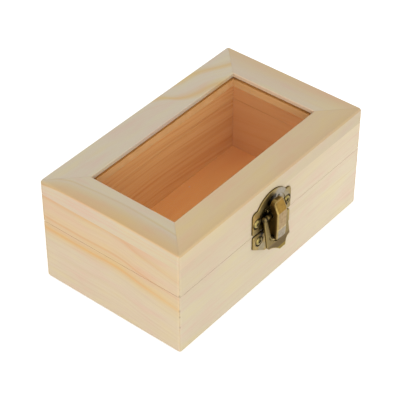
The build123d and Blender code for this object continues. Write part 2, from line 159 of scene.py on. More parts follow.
def shaded(add: Add, value: Node | Socket, stops: Stops) -> Node:
    """Colours a value by stops in the value's own unit.

    Args:
        add: adds a node to the material.
        value: what the colour follows.
        stops: values and their colours.

    Returns:
        The colour.
    """
    low, high = stops[0][0], stops[-1][0]
    share = add("ShaderNodeMapRange", {"Value": value, "From Min": low, "From Max": high})
    places = tuple(((place - low) / (high - low), colour) for place, colour in stops)
    return add("ShaderNodeValToRGB", {"Fac": share}, stops=places)


def paint(material: Material, *nodes: str) -> None:
    """Gives CAD nodes a material through their slots.

    Args:
        material: the finish.
        nodes: names of the CAD nodes.
    """
    for name in nodes:
        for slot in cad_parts[name].material_slots:
            slot.material = material
        LOG.info("%s: %s", name, material.name)


@dataclass(frozen=True)
class Coat:
    """A colour laid over another one.

    Attributes:
        colour: its hex colour, or the node that gives it.
        value: what its share follows; left at 1 where only the limit below counts.
        span: the two values between which its share changes.
        shares: its shares at these two values.
        within: a share that limits it further.
        blend: how it is mixed in.
        ease: how its share runs between the two values.
    """

    colour: str | Node
    value: Any = 1.0
    span: Pair = (0.0, 1.0)
    shares: Pair = (0.0, 1.0)
    within: Any = 1.0
    blend: str = "MIX"
    ease: str = "LINEAR"

    def over(self, add: Add, under: str | Node) -> Node:
        """Lays the coat over a colour.

        Args:
            add: adds a node to the material.
            under: the colour, in hex or as a node.

        Returns:
            The mixed colour.
        """
        (start, end), (first, last) = self.span, self.shares
        span = {"Value": self.value, "From Min": start, "From Max": end, "To Min": first, "To Max": last}
        own = add("ShaderNodeMapRange", span, interpolation_type=self.ease)
        share = add("ShaderNodeMath", {0: own, 1: self.within}, operation="MULTIPLY")
        layers = {0: share, 6: under, 7: self.colour}
        return add("ShaderNodeMix", layers, data_type="RGBA", blend_type=self.blend)


class Lay(Enum):
    """How a board lies: the axes along its grain, across its face and into its thickness."""

    LONG_WALL = "XZY"
    END_WALL = "YZX"
    LONG_RAIL = "XYZ"
    END_RAIL = "YXZ"

    @property
    def is_rail(self) -> bool:
        """Tells whether the board is one of the window's frame."""
        return self in (Lay.LONG_RAIL, Lay.END_RAIL)


@dataclass(frozen=True)
class BoardPoint:
    """Where a shader is on a board, in mm.

    Attributes:
        add: adds a node to the board's material.
        whole: the three places that follow, as one point.
        along: the place along the grain.
        across: the place across the face.
        depth: the place in the thickness, which for a rail is the height.
        outward: the distance from the box's middle, into a wall or across a rail.
    """

    add: Add
    whole: Node
    along: Socket
    across: Socket
    depth: Socket
    outward: Node


@dataclass(frozen=True)
class PineBoard:
    """Planed and sanded pine, left raw outside and amber-oiled inside the box.

    To the eye: a pale, dull, slightly pinkish cream with wide soft bands of orange latewood, hair-fine lines
    along the grain and no gloss, and a warm orange where the oil has gone in.

    Attributes:
        name: which board, for the material's name.
        lay: the board's axes.
        strata: growth layers on the face, as a place across the grain in mm and a colour.
        drift: how far the layers wander across the face, as places along the board and shifts, in mm.
        fan: two places across the face in mm, and the shares of the drift that they get.
        ends: tints laid over the two ends of the board, low end first.
        slope: how fast the layers cross the face as they go into the thickness.
        outer: where the outer face is along the depth axis, in mm.
        fibre: strength of the fine lines.
        fade: from where to where along the board, in mm, the layers' colour grows to its full strength.
        faded: its strength before that.
        oiled_inside: distance from the box's middle, in mm, within which faces are oiled.
        oiled_below: for a rail, the height in mm under which it is oiled, which is the top of the pane.
        oil_ground: colour under the oil.
        oil_line: colour of the growth lines under the oil.
        oil_contrast: strength of these lines.
        side: for a rail, how far from the box's middle its outer side is, in mm, and that side's colour.
        joint_specks: heights in mm of the open spots in the mitre at the board's low end.
        joint_place: where along the board that mitre shows, in mm.
    """

    name: str
    lay: Lay
    strata: Stops
    drift: tuple[Pair, ...] = ((-80.0, 0.0), (80.0, 0.0))
    fan: tuple[Pair, Pair] = ((0.0, 1.0), (1.0, 1.0))
    ends: tuple[str, str] = ("FFFFFF", "FFFFFF")
    slope: float = 0.3
    outer: float = 0.0
    fibre: float = 0.3
    fade: Pair = (-200.0, -190.0)
    faded: float = 1.0
    oiled_inside: float = 0.0
    oiled_below: float = 1000.0
    oil_ground: str = "F9CF8C"
    oil_line: str = "E39F58"
    oil_contrast: float = 0.6
    side: tuple[float, str] | None = None
    joint_specks: tuple[float, ...] = ()
    joint_place: float = 0.0

    FIBRE_TINT = "C8A880"
    SPECK_TINT = "4A3114"
    # painted light on an end rail's upright face over the pane, which is in shade
    UPRIGHT_LIGHT_TINT = "DBC4A6"
    GROOVE_TINT = "FFCF82"
    # painted shade along the pane's edge, where the groove under the rail lies in shade
    SHADE_LINE_TINTS = ("D8B488", "6B4A2A")   # of the line round the pane, near end and far end
    SWAY = 1.2                          # how far the layers sway to each side, in mm

    def material(self) -> Material:
        """Builds the board's material, with its patterns measured in mm of the board.

        Returns:
            The material.
        """
        material, add = blank_material(f"raw sanded pine, {self.name}")
        axes = add("ShaderNodeSeparateXYZ", {0: in_mm(add)}).outputs
        along, across, depth = (axes[letter] for letter in self.lay.value)
        whole = add("ShaderNodeCombineXYZ", {0: along, 1: across, 2: depth})
        outward = add("ShaderNodeMath", {0: across if self.lay.is_rail else depth}, operation="ABSOLUTE")
        at = BoardPoint(add, whole, along, across, depth, outward)
        ring = self.ring(at)
        layered = add("ShaderNodeCombineXYZ", {0: along, 1: ring, 2: depth})

        # fine lines about 1.2 mm apart, drawn coarser than real fibres so that they show
        lines = streaks(add, layered, (0.02, 0.8, 0.8))
        # soft clouds about 30 mm long and 8 mm wide, from yellowish to pinkish
        cloud_share = streaks(add, whole, (0.035, 0.13, 0.1))
        clouds = shaded(add, cloud_share, ((0.32, "FFFFF0"), (0.5, "FDFCF8"), (0.68, "FFF5F5")))
        ends = Coat(self.ends[1], along, (-60.0, 60.0)).over(add, self.ends[0])
        coats = [Coat(shaded(add, ring, self.strata), along, self.fade, (self.faded, 1.0), ease="SMOOTHSTEP")]
        if self.side:
            reach, tone = self.side
            coats.append(Coat(tone, outward, (reach - 0.7, reach - 0.1)))
        coats += [
            Coat(ends, blend="MULTIPLY"),
            Coat(self.FIBRE_TINT, lines, (0.45, 0.72), (0.0, self.fibre)),
            Coat(clouds, blend="MULTIPLY"),
            self.oil(at, layered),
        ]
        if self.joint_specks:
            coats.append(self.specks(at, axes["Z"]))
        if self.lay.is_rail:
            coats += self.rim(at)
        face: Any = self.strata[0][1]
        for coat in coats:
            face = coat.over(add, face)

        # dull sanded surface: the latewood a touch smoother, the fibres a few hundredths of a mm proud
        dullness = {"Value": lines, "From Min": 0.3, "From Max": 0.7, "To Min": 0.72, "To Max": 0.58}
        roughness = add("ShaderNodeMapRange", dullness)
        bump = add("ShaderNodeBump", {"Height": lines, "Strength": 0.25, "Distance": 0.06 * MM})
        look = {"Base Color": face, "Roughness": roughness, "Normal": bump, "IOR": 1.45}
        shader = add("ShaderNodeBsdfPrincipled", look | {"Specular IOR Level": 0.3})
        add("ShaderNodeOutputMaterial", {"Surface": shader})
        return material

    def ring(self, at: BoardPoint) -> Node:
        """Works out which growth layer a point of the board is in.

        It is the place across the grain, shifted by the drift, a slow sway and the slope into the board.

        Args:
            at: the point.

        Returns:
            The layer's place across the grain in mm.
        """
        first, last = self.drift[0][0], self.drift[-1][0]
        most = max(abs(shift) for _, shift in self.drift) or 1.0
        place = at.add("ShaderNodeMapRange", {"Value": at.along, "From Min": first, "From Max": last})
        curve = at.add("ShaderNodeFloatCurve", {"Value": place})
        points = curve.mapping.curves[0].points
        spots = [((where - first) / (last - first), 0.5 + 0.5 * shift / most) for where, shift in self.drift]
        points[0].location, points[-1].location = spots[0], spots[-1]
        for spot in spots[1:-1]:
            points.new(*spot)
        curve.mapping.update()
        drift = at.add("ShaderNodeMapRange", {"Value": curve, "To Min": -most, "To Max": most})
        (low, high), (least, widest) = self.fan
        spread = {"Value": at.across, "From Min": low, "From Max": high, "To Min": least, "To Max": widest}
        fan = at.add("ShaderNodeMapRange", spread)
        layer: Any = self.slope * self.outer - self.SWAY
        sway = streaks(at.add, at.whole, (0.02, 0.05, 0.05), detail=2.0, roughness=0.5)
        for value, factor in ((sway, 2 * self.SWAY), (drift, fan), (at.depth, -self.slope), (at.across, 1.0)):
            layer = at.add("ShaderNodeMath", {0: value, 1: factor, 2: layer}, operation="MULTIPLY_ADD")
        return layer

    def oil(self, at: BoardPoint, layered: Node) -> Coat:
        """Colours the oiled faces inside the box, with reddish growth lines about 2 mm apart.

        Args:
            at: the point.
            layered: the same point, with the growth layer for its place across the grain.

        Returns:
            The oil.
        """
        coarse = streaks(at.add, layered, (0.008, 0.5, 0.2), roughness=0.7)
        line = Coat(self.oil_line, coarse, (0.42, 0.72), (0.0, self.oil_contrast), ease="SMOOTHSTEP")
        below: Any = 1.0
        if self.lay.is_rail:
            top = self.oiled_below
            under = {"Value": at.depth, "From Min": top - 0.2, "From Max": top, "To Min": 1.0, "To Max": 0.0}
            below = at.add("ShaderNodeMapRange", under)
        start = self.oiled_inside + 0.1
        return Coat(line.over(at.add, self.oil_ground), at.outward, (start, start + 0.3), (1.0, 0.0), below)

    def specks(self, at: BoardPoint, height: Socket) -> Coat:
        """Colours the dark open spots of a mitre, each 2 mm high.

        Args:
            at: the point.
            height: its height in mm.

        Returns:
            The spots.
        """
        spot = ((-1.0, "000000"), (0.0, "FFFFFF"), (1.0, "000000"))
        stops = tuple((middle + off, share) for middle in self.joint_specks for off, share in spot)
        beside = at.add("ShaderNodeMath", {0: at.along, 1: self.joint_place}, operation="SUBTRACT")
        distance = at.add("ShaderNodeMath", {0: beside}, operation="ABSOLUTE")
        return Coat(self.SPECK_TINT, distance, (0.3, 0.9), (1.0, 0.0), shaded(at.add, height, stops))

    def rim(self, at: BoardPoint) -> list[Coat]:
        """Colours a rail round the pane: a dark line, a brown groove under it and an end rail's pale edge.

        The line is painted shade, dark at the rail's far end and faint at its near end.
        The pale edge is painted light.

        Args:
            at: the point.

        Returns:
            The coats.
        """
        top = self.oiled_below
        start = self.oiled_inside + 0.2
        near = {"value": at.outward, "span": (start, start + 0.4), "shares": (1.0, 0.0)}
        coats = []
        # an end rail's upright face over the pane gets painted light
        if self.lay is Lay.END_RAIL:
            middle, half = top + 1.25, 1.15     # of the upright edge over the pane, in mm
            over_pane = at.add("ShaderNodeMath", {0: at.depth, 1: middle, 2: half}, operation="COMPARE")
            coats.append(Coat(self.UPRIGHT_LIGHT_TINT, within=over_pane, **near))
        groove = ((top - 2.1, "FFFFFF"), (top - 1.95, self.GROOVE_TINT), (top - 0.2, self.GROOVE_TINT))
        # the dark line round the pane is painted shade
        faint, dark = (
            shaded(at.add, at.depth, (*groove, (top - 0.05, line), (top + 0.1, line), (top + 0.2, "FFFFFF")))
            for line in self.SHADE_LINE_TINTS
        )
        tint = Coat(dark, at.along, (-50.0, 10.0)).over(at.add, faint)
        return [*coats, Coat(tint, blend="MULTIPLY", **near)]


@dataclass(frozen=True)
class OiledPlywood:
    """Rotary-cut plywood, sanded and amber-oiled on top: a plain warm orange with short soft grain and pores.

    Attributes:
        ground: colour of the oiled top.
        grain: colour of its grain.
        pale: colour of the raw edges and underside.
        glint: colour of a tiny pale spot on the oiled top, a painted highlight.
        glint_place: where that is, along and across the box in mm.
        glint_radius: its size in mm.
        top_height: of the panel, in mm.
    """

    ground: str = "FFC478"
    grain: str = "F8AE66"
    pale: str = "DCC7A4"
    glint: str = "F3E6D2"
    glint_place: Pair = (23.0, 30.0)
    glint_radius: float = 0.5
    top_height: float = 3.8

    def material(self) -> Material:
        """Builds the panel's material.

        Returns:
            The material.
        """
        material, add = blank_material("rotary-cut plywood, oiled on top")
        mm = in_mm(add)
        grain = streaks(add, mm, (0.02, 0.16, 0.3), detail=4.0, roughness=0.55, bend=0.4)
        height = add("ShaderNodeSeparateXYZ", {0: mm}).outputs["Z"]
        middle = (*self.glint_place, self.top_height)
        off_glint = add("ShaderNodeVectorMath", {0: mm, 1: middle}, operation="DISTANCE")
        wood: Any = self.ground
        for coat in (
            Coat(self.grain, grain, (0.42, 0.72), (0.0, 0.5)),
            Coat(self.pale, height, (self.top_height - 0.3, self.top_height - 0.1), (1.0, 0.0)),
            # a tiny pale spot on the oiled top: a painted highlight
            Coat(self.glint, off_glint, (self.glint_radius * 0.6, self.glint_radius), (0.8, 0.0)),
        ):
            wood = coat.over(add, wood)
        bump = add("ShaderNodeBump", {"Height": grain, "Strength": 0.2, "Distance": 0.08 * MM})
        look = {"Base Color": wood, "Normal": bump, "Roughness": 0.6, "Specular IOR Level": 0.3}
        add("ShaderNodeOutputMaterial", {"Surface": add("ShaderNodeBsdfPrincipled", look)})
        return material


@dataclass(frozen=True)
class ClearPane:
    """Clear acrylic sheet with a faint warm cast: almost unseen, but it deepens the orange under it.

    Attributes:
        cast: its tint.
        refraction: its index, well under acrylic's 1.49, so that it mirrors little.
    """

    cast: str = "FFFDF9"
    refraction: float = 1.12

    def material(self) -> Material:
        """Builds the pane's material; light for the wood below passes straight through it.

        Returns:
            The material.
        """
        material, add = blank_material("clear cast acrylic, polished")
        look = {"Base Color": self.cast, "Roughness": 0.0, "IOR": self.refraction, "Transmission Weight": 1.0}
        sheet = add("ShaderNodeBsdfPrincipled", look)
        ray = add("ShaderNodeLightPath").outputs
        lighting = {0: ray["Is Shadow Ray"], 1: ray["Is Diffuse Ray"]}
        share = add("ShaderNodeMath", lighting, operation="MAXIMUM")
        clear = add("ShaderNodeBsdfTransparent", {"Color": self.cast})
        mixed = add("ShaderNodeMixShader", {0: share, 1: sheet, 2: clear})
        add("ShaderNodeOutputMaterial", {"Surface": mixed})
        return material


@dataclass(frozen=True)
class WearShadeAndSheen:
    """A soft ball of another colour, for rubbed patina, plating that differs, painted shade and painted
    reflections.

    Attributes:
        place: its middle in mm.
        radius: its reach in mm.
        tint: its colour.
        strength: how much of it shows at the middle.
        core: the share of the radius within which it shows in full.
        all_round: True where it is laid on sides and edges too, False where only on front and back faces.
    """

    place: Place
    radius: float
    tint: str
    strength: float = 1.0
    core: float = 0.5
    all_round: bool = False

    def coat(self, add: Add, mm: Node) -> Coat:
        """Turns the rub into a coat.

        Args:
            add: adds a node to the metal's material.
            mm: the point in mm.

        Returns:
            The coat.
        """
        distance = add("ShaderNodeVectorMath", {0: mm, 1: self.place}, operation="DISTANCE")
        span, shares = (self.radius * self.core, self.radius), (self.strength, 0.0)
        return Coat(self.tint, distance, span, shares, ease="SMOOTHSTEP")


@dataclass(frozen=True)
class AntiqueBronze:
    """Pressed steel, bronze-plated, blackened and rubbed back by tumbling.

    To the eye: olive-brown metal, nearly black in hollows and with painted shade between the sheets, with
    gold where the edges and high faces are rubbed, painted highlights and reflections, and a satin, slightly
    blotchy gloss.

    Attributes:
        name: which piece, for the material's name.
        rubbed: colour of rubbed edges, and of the painted highlight on rounded long edges.
        body: colour of the open faces.
        side: colour of faces turned sideways or up, partly patina that the tumbling leaves and partly painted
            shade.
        patina: colour in the hollows.
        edge: how wide the rubbed edges are, in mm.
        eased: how strongly the painted highlight shows on the rounded long edges.
        hollow: how far from another surface the patina stays, in mm.
        tilt_sheen_and_shade: colours of the front by how it faces, from -1, facing down, to 1, facing up:
            painted reflections and shade.
        highlight_band: a painted highlight line across the front, along a bend: its height and half its width
            in mm, and its colour.
        wear_shade_and_sheen: places of another colour: rubbed patina, painted shade and painted reflections.
    """

    name: str
    rubbed: str = "B79E66"
    body: str = "8C7448"
    side: str = "5E4B22"
    patina: str = "1C1406"
    edge: float = 0.35
    eased: float = 0.0
    hollow: float = 1.6
    tilt_sheen_and_shade: Stops = ()
    highlight_band: tuple[float, float, str] | None = None
    wear_shade_and_sheen: tuple[WearShadeAndSheen, ...] = ()

    def material(self) -> Material:
        """Builds the metal's material.

        Returns:
            The material.
        """
        material, add = blank_material(f"antique bronze plate on steel, {self.name}")
        mm = in_mm(add)
        facing = add("ShaderNodeTexCoord").outputs["Normal"]
        normal = add("ShaderNodeSeparateXYZ", {0: facing}).outputs
        sideways, flat = (add("ShaderNodeMath", {0: normal[axis]}, operation="ABSOLUTE") for axis in "XY")
        # painted highlight on the rounded long edges, where the surface faces half sideways
        half_turned = ((0.12, "000000"), (0.32, "FFFFFF"), (0.75, "FFFFFF"), (0.92, "000000"))
        eased = shaded(add, sideways, half_turned)
        # blotches about 1.5 mm wide, left by the blackening bath
        blotches = add("ShaderNodeTexNoise", {"Vector": mm, "Scale": 0.65, "Detail": 4.0, "Roughness": 0.6})
        # how free a place is: hollows keep the patina
        free = add("ShaderNodeAmbientOcclusion", {"Distance": self.hollow * MM}, samples=12).outputs["AO"]
        # sharp edges: a rounded normal differs from the flat one there
        rounded = add("ShaderNodeBevel", {"Radius": self.edge * MM}, samples=6)
        plain = add("ShaderNodeNewGeometry").outputs["Normal"]
        turn = add("ShaderNodeVectorMath", {0: rounded, 1: plain}, operation="DOT_PRODUCT")

        # tumbling wears the front, the back and the edges bright and reaches the other faces less;
        # the other faces' darker colour is partly painted shade, and the rounded edges get a painted
        # highlight
        coats = [
            *(patch.coat(add, mm) for patch in self.wear_shade_and_sheen if not patch.all_round),
            Coat(self.side, flat, (0.35, 0.85), (1.0, 0.0)),
            Coat(self.rubbed, eased, shares=(0.0, self.eased)),
            *(patch.coat(add, mm) for patch in self.wear_shade_and_sheen if patch.all_round),
            Coat(self.side, blotches, (0.45, 0.75), (0.0, 0.35)),
            Coat(self.patina, free, (0.25, 0.85), (0.95, 0.0)),
            Coat(self.rubbed, turn, (0.985, 0.85), (0.0, 0.9), free),
        ]
        # a painted highlight line across the front
        if self.highlight_band:
            height, half_width, tint = self.highlight_band
            above = add("ShaderNodeSeparateXYZ", {0: mm}).outputs["Z"]
            in_band = add("ShaderNodeMath", {0: above, 1: height, 2: half_width}, operation="COMPARE")
            coats.insert(0, Coat(tint, within=in_band))
        # the front's colour follows the way it faces: painted reflections and shade
        metal: Any = shaded(add, normal["Z"], self.tilt_sheen_and_shade) if self.tilt_sheen_and_shade else self.body
        for coat in coats:
            metal = coat.over(add, metal)

        # satin gloss, duller in the blotches; pits of 0.3 mm from pressing and tumbling
        gloss = {"Value": blotches, "From Min": 0.3, "From Max": 0.75, "To Min": 0.3, "To Max": 0.52}
        roughness = add("ShaderNodeMapRange", gloss)
        pits = add("ShaderNodeTexNoise", {"Vector": mm, "Scale": 3.2, "Detail": 2.0})
        relief = {"Height": pits, "Strength": 0.35, "Distance": 0.05 * MM, "Normal": rounded}
        bump = add("ShaderNodeBump", relief)
        look = {"Base Color": metal, "Roughness": roughness, "Normal": bump, "Metallic": 1.0}
        add("ShaderNodeOutputMaterial", {"Surface": add("ShaderNodeBsdfPrincipled", look)})
        return material


class ScrewTree:
    """A Geometry Nodes tree that sets a round-head cross-recess wood screw on every point of a mesh.

    A screw's head stands on its point and its shank goes down. The head is a dome on a low rim with a tapered
    cross cut into it, and the shank has a point and a thread.
    """

    INPUTS: tuple[tuple[str, str, Any], ...] = (
        ("Head radius", "NodeSocketFloat", 2.3 * MM),
        ("Head height", "NodeSocketFloat", 1.5 * MM),
        ("Rim share", "NodeSocketFloat", 0.3),
        ("Cross length", "NodeSocketFloat", 2.6 * MM),
        ("Cross width", "NodeSocketFloat", 0.6 * MM),
        ("Cross depth", "NodeSocketFloat", 0.9 * MM),
        ("Shank radius", "NodeSocketFloat", 0.9 * MM),
        ("Length", "NodeSocketFloat", 7.0 * MM),
        ("Thread pitch", "NodeSocketFloat", 1.1 * MM),
        ("Facing", "NodeSocketVector", (0.0, 0.0, 0.0)),
        ("Turn", "NodeSocketFloat", 0.5),
        ("Seed", "NodeSocketInt", 1),
        ("Finish", "NodeSocketMaterial", None),
    )
    CROSS_TAPER = 0.6       # width of the cross at its floor, over that at its top
    TIP_SHARE = 0.04        # width of the point's end, over the shank
    TIP_LENGTH = 2.0        # of the point, in shank radii
    THREADED = 0.75         # share of the shank over the point that has a thread
    RIDGE_SHARE = 0.25      # radius of the thread's ridge, over the shank

    def __init__(self) -> None:
        """Builds the tree once."""
        self.tree = bpy.data.node_groups.new("cross-recess screws", "GeometryNodeTree")
        self.tree.interface.new_socket("Points", in_out="INPUT", socket_type="NodeSocketGeometry")
        for name, kind, value in self.INPUTS:
            socket = self.tree.interface.new_socket(name, in_out="INPUT", socket_type=kind)
            if value is not None:
                socket.default_value = value
        self.tree.interface.new_socket("Screws", in_out="OUTPUT", socket_type="NodeSocketGeometry")
        self.add = partial(add_node, self.tree)
        self.given = self.add("NodeGroupInput").outputs
        screw = self.add("GeometryNodeJoinGeometry")
        for part in (self.head(), self.shank(), self.thread()):
            self.tree.links.new(part.outputs[0], screw.inputs[0])
        self.set_out(screw)

    def moved(self, shape: Node, length: Node | Socket, share: float) -> Node:
        """Moves a shape up by a share of a length.

        Args:
            shape: the shape.
            length: the length.
            share: the share of it, less than 0 to move down.

        Returns:
            The moved shape.
        """
        rise = self.add("ShaderNodeMath", {0: length, 1: share}, operation="MULTIPLY")
        shift = self.add("ShaderNodeCombineXYZ", {"Z": rise})
        return self.add("GeometryNodeTransform", {"Geometry": shape, "Translation": shift})

    def slimmed(self, shape: Node, place: Node, taper: Node) -> Node:
        """Draws the points of a shape in towards its axis.

        Args:
            shape: the shape.
            place: each point's place.
            taper: how much of its distance from the axis each point keeps.

        Returns:
            The tapered shape.
        """
        slim = self.add("ShaderNodeCombineXYZ", {"X": taper, "Y": taper, "Z": 1.0})
        drawn_in = self.add("ShaderNodeVectorMath", {0: place, 1: slim}, operation="MULTIPLY")
        return self.add("GeometryNodeSetPosition", {"Geometry": shape, "Position": drawn_in})

    def head(self) -> Node:
        """Makes the domed head with its cross.

        Returns:
            The head, its underside at height 0.
        """
        add, given = self.add, self.given
        grid = {"Vertices": 48, "Side Segments": 1, "Fill Segments": 10}
        size = {"Radius": given["Head radius"], "Depth": given["Head height"]}
        standing = self.moved(add("GeometryNodeMeshCylinder", grid | size), given["Head height"], 0.5)
        # dome: each height shrinks by the round of a quarter circle towards the rim
        parts = add("ShaderNodeSeparateXYZ", {0: add("GeometryNodeInputPosition")}).outputs
        level = add("ShaderNodeCombineXYZ", {"X": parts["X"], "Y": parts["Y"]})
        reach = add("ShaderNodeVectorMath", {0: level}, operation="LENGTH")
        out = add("ShaderNodeMath", {0: reach, 1: given["Head radius"]}, operation="DIVIDE", use_clamp=True)
        square = add("ShaderNodeMath", {0: out, 1: 2.0}, operation="POWER")
        rest = add("ShaderNodeMath", {0: 1.0, 1: square}, operation="SUBTRACT", use_clamp=True)
        rise = add("ShaderNodeMath", {0: rest}, operation="SQRT")
        share = add("ShaderNodeMapRange", {"Value": rise, "To Min": given["Rim share"], "To Max": 1.0})
        height = add("ShaderNodeMath", {0: parts["Z"], 1: share}, operation="MULTIPLY")
        domed = add("ShaderNodeCombineXYZ", {"X": parts["X"], "Y": parts["Y"], "Z": height})
        dome = add("GeometryNodeSetPosition", {"Geometry": standing, "Position": domed})
        inputs = {"Mesh 1": dome, "Self Intersection": True}
        cut = add("GeometryNodeMeshBoolean", inputs, operation="DIFFERENCE", solver="EXACT")
        for long_way, other in ("XY", "YX"):
            self.tree.links.new(self.cross_bar(long_way, other).outputs[0], cut.inputs["Mesh 2"])
        return cut

    def cross_bar(self, long_way: str, other: str) -> Node:
        """Makes one bar of the cross, narrower towards its floor.

        Args:
            long_way: the axis that the bar runs along, X or Y.
            other: the axis across it.

        Returns:
            The bar.
        """
        add, given = self.add, self.given
        deep = add("ShaderNodeMath", {0: given["Cross depth"], 1: 2.0}, operation="MULTIPLY")
        sides = {long_way: given["Cross length"], other: given["Cross width"], "Z": deep}
        bar = add("GeometryNodeMeshCube", {"Size": add("ShaderNodeCombineXYZ", sides)})
        place = add("GeometryNodeInputPosition")
        height = add("ShaderNodeSeparateXYZ", {0: place}).outputs["Z"]
        low = add("ShaderNodeMath", {0: height, 1: 0.0}, operation="LESS_THAN")
        taper = add("ShaderNodeMapRange", {"Value": low, "To Min": 1.0, "To Max": self.CROSS_TAPER})
        return self.moved(self.slimmed(bar, place, taper), given["Head height"], 1.0)

    def shank(self) -> Node:
        """Makes the shank with its point.

        Returns:
            The shank, from height 0 down.
        """
        add, given = self.add, self.given
        grid = {"Vertices": 24, "Side Segments": 12, "Fill Segments": 1}
        size = {"Radius": given["Shank radius"], "Depth": given["Length"]}
        hanging = self.moved(add("GeometryNodeMeshCylinder", grid | size), given["Length"], -0.5)
        place = add("GeometryNodeInputPosition")
        height = add("ShaderNodeSeparateXYZ", {0: place}).outputs["Z"]
        end = add("ShaderNodeMath", {0: given["Length"], 1: -1.0}, operation="MULTIPLY")
        rise = {0: given["Shank radius"], 1: self.TIP_LENGTH, 2: end}
        shoulder = add("ShaderNodeMath", rise, operation="MULTIPLY_ADD")
        tip = {"Value": height, "From Min": end, "From Max": shoulder}
        taper = add("ShaderNodeMapRange", tip | {"To Min": self.TIP_SHARE, "To Max": 1.0})
        return self.slimmed(hanging, place, taper)

    def thread(self) -> Node:
        """Makes the thread, a ridge that winds up the shank from its shoulder.

        Returns:
            The thread.
        """
        add, given = self.add, self.given
        above_tip = {0: given["Shank radius"], 1: -self.TIP_LENGTH, 2: given["Length"]}
        free = add("ShaderNodeMath", above_tip, operation="MULTIPLY_ADD")
        run = add("ShaderNodeMath", {0: free, 1: self.THREADED}, operation="MULTIPLY")
        turns = add("ShaderNodeMath", {0: run, 1: given["Thread pitch"]}, operation="DIVIDE")
        radii = {"Start Radius": given["Shank radius"], "End Radius": given["Shank radius"]}
        coil = add("GeometryNodeCurveSpiral", {"Resolution": 24, "Rotations": turns, "Height": run} | radii)
        ridge = add("ShaderNodeMath", {0: given["Shank radius"], 1: self.RIDGE_SHARE}, operation="MULTIPLY")
        section = add("GeometryNodeCurvePrimitiveCircle", {"Resolution": 4, "Radius": ridge})
        inputs = {"Curve": coil, "Profile Curve": section, "Fill Caps": True}
        return self.moved(add("GeometryNodeCurveToMesh", inputs), free, -1.0)

    def set_out(self, screw: Node) -> None:
        """Sets a screw on each point, turned by chance about its axis, and finishes the tree.

        Args:
            screw: one screw, standing on height 0.
        """
        add, given = self.add, self.given
        least = add("ShaderNodeMath", {0: given["Turn"], 1: -1.0}, operation="MULTIPLY")
        limits = {"Min": least, "Max": given["Turn"], "Seed": given["Seed"]}
        chance = add("FunctionNodeRandomValue", limits, data_type="FLOAT").outputs["Value"]
        spin = add("ShaderNodeCombineXYZ", {"Z": chance})
        copies = {"Points": given["Points"], "Instance": screw, "Rotation": given["Facing"]}
        placed = add("GeometryNodeInstanceOnPoints", copies)
        spun = add("GeometryNodeRotateInstances", {"Instances": placed, "Rotation": spin})
        real = add("GeometryNodeRealizeInstances", {"Geometry": spun})
        finished = add("GeometryNodeSetMaterial", {"Geometry": real, "Material": given["Finish"]})
        add("NodeGroupOutput", {0: finished})


@dataclass(frozen=True)
class ScrewSize:
    """One size of screw, in mm.

    Attributes:
        head_radius: of the head.
        head_height: of the dome over its seat.
        shank_radius: of the shank.
        length: from the seat to the tip.
        cross_width: of the recess's bars.
        cross_depth: of the recess.
        thread_pitch: of the thread.
        cross_share: length of the recess's bars over the head's radius.
    """

    head_radius: float
    head_height: float
    shank_radius: float
    length: float
    cross_width: float
    cross_depth: float
    thread_pitch: float = 1.1
    cross_share: float = 1.25

    def inputs(self) -> dict[str, float]:
        """Gives the screw tree's inputs.

        Returns:
            The inputs by name, in metres.
        """
        sizes = {
            "Head radius": self.head_radius,
            "Head height": self.head_height,
            "Cross length": self.head_radius * self.cross_share,
            "Cross width": self.cross_width,
            "Cross depth": self.cross_depth,
            "Shank radius": self.shank_radius,
            "Length": self.length,
            "Thread pitch": self.thread_pitch,
        }
        return {name: size * MM for name, size in sizes.items()}


@dataclass
class ScrewSet:
    """The wood screws that stand for one CAD node.

    Attributes:
        name: the piece's name.
        node: the CAD node that it replaces.
        body: the body that it rides on.
        front: True for screws in the front of the box, False for those in its back.
        size: the screws' size.
        seed: for the chance turn of each screw.
        spread: between the two screws of a hinge leaf in mm; 0 where the node has only two screws.
    """

    name: str
    node: str
    body: str
    front: bool
    size: ScrewSize
    seed: int
    spread: float = 0.0

    def places(self) -> list[Vector]:
        """Works out from the CAD node's box where the heads sit.

        Returns:
            The middle of each head's underside, in metres.
        """
        low, high = (Vector(corner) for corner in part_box(self.node))
        radius, height, spread = self.size.head_radius * MM, self.size.head_height * MM, self.spread * MM
        across = {low.x + radius, high.x - radius}
        if spread:
            across |= {low.x + radius + spread, high.x - radius - spread}
        seat = low.y + height if self.front else high.y - height
        return [Vector((x, seat, (low.z + high.z) / 2)) for x in sorted(across)]

    def build(self, tree: Tree, finish: Material) -> None:
        """Makes the screws as one plain mesh.

        Args:
            tree: the screw tree.
            finish: the screws' material.
        """
        mesh = bpy.data.meshes.new(self.name)
        mesh.from_pydata(self.places(), [], [])
        piece = bpy.data.objects.new(self.name, mesh)
        bpy.context.scene.collection.objects.link(piece)
        modifier = piece.modifiers.new("screws", "NODES")
        modifier.node_group = tree
        facing = (pi / 2 if self.front else -pi / 2, 0.0, 0.0)
        values = {**self.size.inputs(), "Facing": facing, "Seed": self.seed, "Finish": finish}
        for item in tree.interface.items_tree:
            if item.in_out == "INPUT" and item.name in values:
                modifier[item.identifier] = values[item.name]
        bpy.context.view_layer.update()
        evaluated = piece.evaluated_get(bpy.context.evaluated_depsgraph_get())
        piece.data = bpy.data.meshes.new_from_object(evaluated)
        piece.modifiers.clear()
        piece.data.name = self.name
        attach(piece, self.body)
        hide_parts(self.node)
        LOG.info("%s: %d faces", self.name, len(piece.data.polygons))


